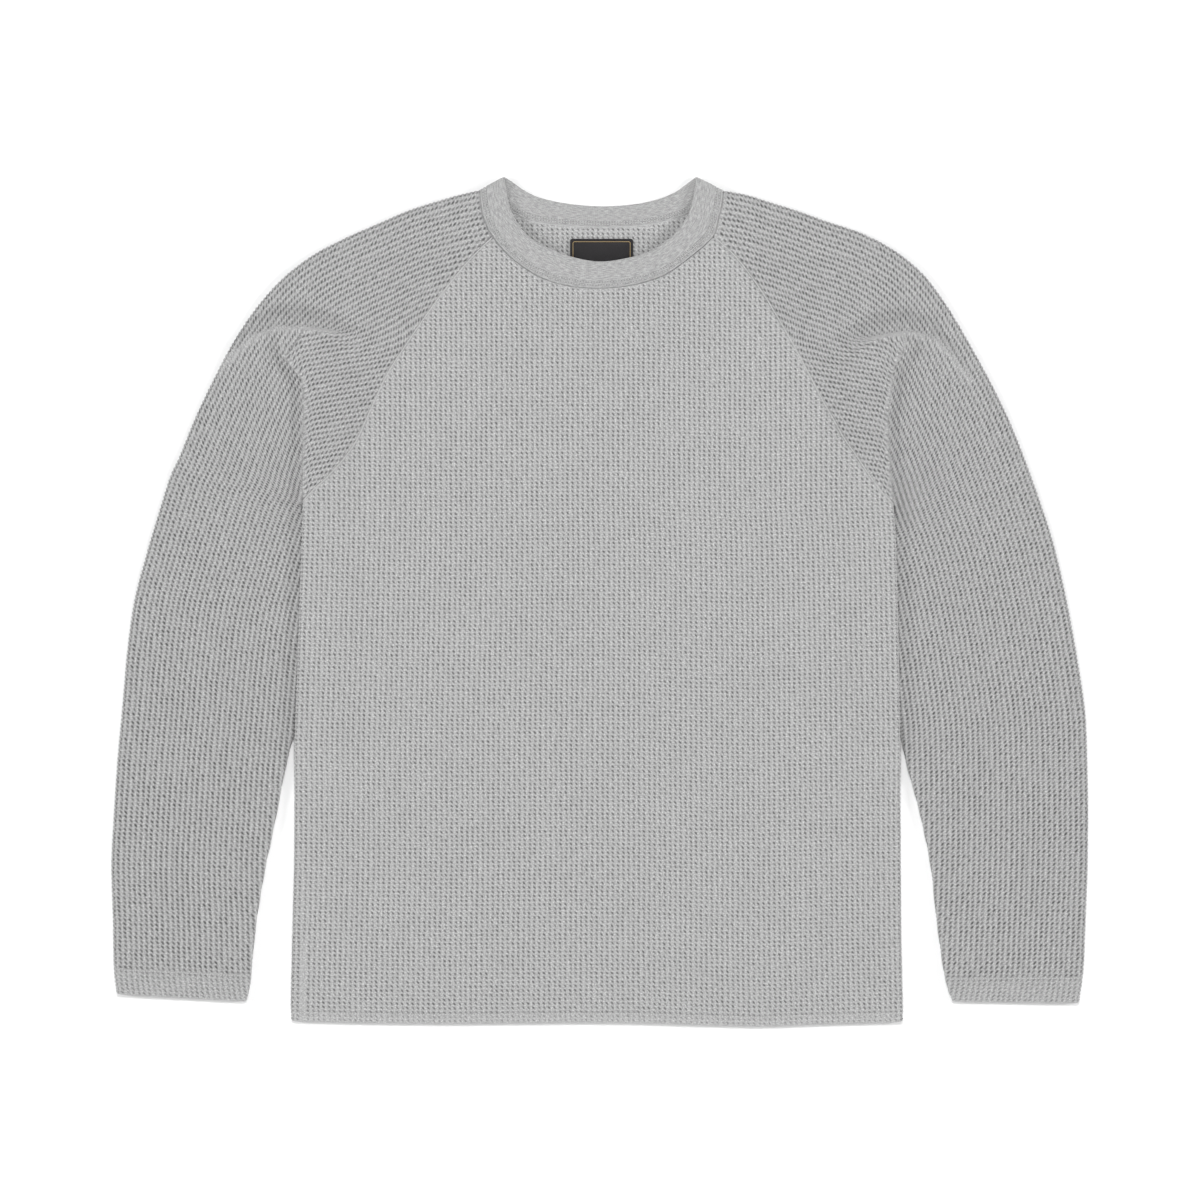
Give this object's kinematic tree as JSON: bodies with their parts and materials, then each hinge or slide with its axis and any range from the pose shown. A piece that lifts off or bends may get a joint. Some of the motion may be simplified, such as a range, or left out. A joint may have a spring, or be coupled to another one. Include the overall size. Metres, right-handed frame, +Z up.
{
  "type": "thermal top",
  "caption": "Long-sleeved raglan thermal top in grey waffle knit with a round ribbed neck, laid out flat with its sleeves swung down beside the body.",
  "frame": {"origin": "on the surface that the top lies on, under the middle of its outline", "axes": "+X towards the wearer's left sleeve, +Y from the hem to the neck, +Z up from the surface, out of the garment's front"},
  "size_m": [0.8584, 0.747, 0.0131],
  "materials": {
    "waffle_knit": "matte",
    "neck_rib": "matte",
    "woven_label": "satin"
  },
  "bodies": {
    "root": {"back": "waffle_knit", "front": "waffle_knit", "sleeve_right": "waffle_knit", "sleeve_left": "waffle_knit", "neckband": "neck_rib", "label": "woven_label"}
  },
  "joints": []
}
